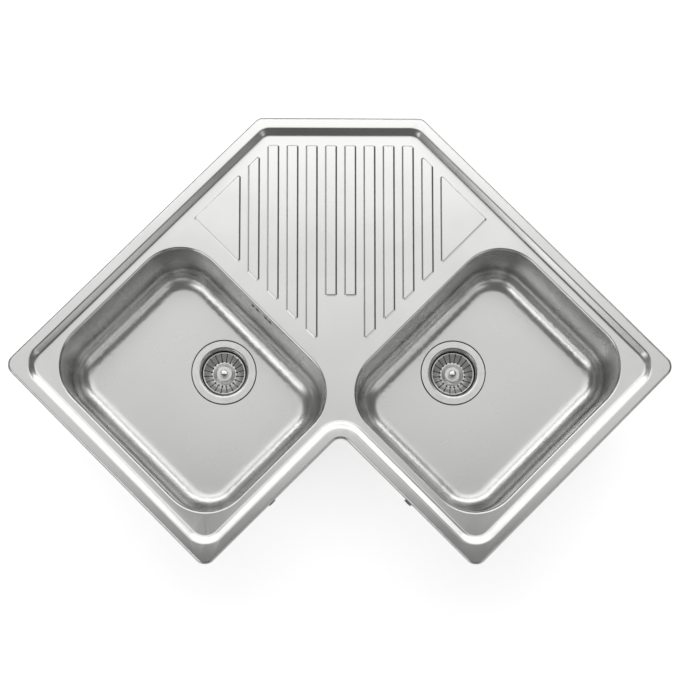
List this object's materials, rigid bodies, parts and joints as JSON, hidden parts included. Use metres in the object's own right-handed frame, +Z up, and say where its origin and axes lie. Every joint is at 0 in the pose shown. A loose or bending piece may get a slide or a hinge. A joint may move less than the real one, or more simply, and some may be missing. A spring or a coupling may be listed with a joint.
{
  "type": "corner kitchen sink",
  "caption": "Inset stainless steel corner sink: two deep bowls on two legs, a ribbed drainer in the corner, basket strainer wastes and one overflow.",
  "frame": {"origin": "middle of the sink's square plan, on the worktop's top surface", "axes": "+Z up; the room's two walls lie along +X and +Y, with the drainer in the corner between them; the bowls are on the -X and the -Y legs"},
  "size_m": [0.83, 0.83, 0.2785],
  "materials": {
    "deck_steel": "satin brushed stainless steel sheet",
    "bowl_steel": "satin drawn stainless steel sheet",
    "strainer_steel": "fine satin stainless steel",
    "basket_steel": "polished stainless steel",
    "knob_chrome": "mirror chrome plate",
    "stem_steel": "turned stainless steel",
    "screw_steel": "turned stainless steel",
    "nut_brass": "turned brass",
    "bracket_steel": "mill-finish stainless strip",
    "clip_zinc": "bright zinc plate on steel strip",
    "screw_zinc": "bright zinc plate on steel",
    "seal_foam": "closed-cell foam strip",
    "seal_rubber": "moulded rubber",
    "plug_rubber": "moulded rubber",
    "damping_pad": "bitumen damping sheet",
    "waste_plastic": "fine matt moulded polypropylene",
    "nut_plastic": "fine matt moulded polypropylene",
    "overflow_plastic": "fine matt moulded polypropylene",
    "hose_plastic": "satin flexible polyethylene"
  },
  "bodies": {
    "sink": {"sink_deck": "deck_steel", "bowl_left": "bowl_steel", "bowl_right": "bowl_steel", "rim_seal": "seal_foam", "clip_brackets": "bracket_steel", "fixing_clips": "clip_zinc", "clip_screws": "screw_zinc", "sound_pad_left": "damping_pad", "sound_pad_right": "damping_pad", "overflow_head": "overflow_plastic", "overflow_gasket": "seal_rubber", "overflow_screw": "screw_steel", "overflow_hose": "hose_plastic", "hose_nut_upper": "nut_plastic", "hose_nut_lower": "nut_plastic", "strainer_flange_left": "strainer_steel", "flange_gasket_left": "seal_rubber", "body_gasket_left": "seal_rubber", "waste_body_left": "waste_plastic", "waste_screw_left": "screw_steel", "waste_nut_left": "nut_brass", "strainer_flange_right": "strainer_steel", "flange_gasket_right": "seal_rubber", "body_gasket_right": "seal_rubber", "waste_body_right": "waste_plastic", "waste_screw_right": "screw_steel", "waste_nut_right": "nut_brass"},
    "basket_left": {"basket_cup_left": "basket_steel", "basket_stem_left": "stem_steel", "basket_knob_left": "knob_chrome", "basket_plug_left": "plug_rubber"},
    "basket_right": {"basket_cup_right": "basket_steel", "basket_stem_right": "stem_steel", "basket_knob_right": "knob_chrome", "basket_plug_right": "plug_rubber"}
  },
  "joints": [
    {"name": "basket_left_lift", "type": "slide", "parent": "sink", "child": "basket_left", "axis": [0, 0, 1], "range_m": [0, 0.24]},
    {"name": "basket_right_lift", "type": "slide", "parent": "sink", "child": "basket_right", "axis": [0, 0, 1], "range_m": [0, 0.24]}
  ]
}
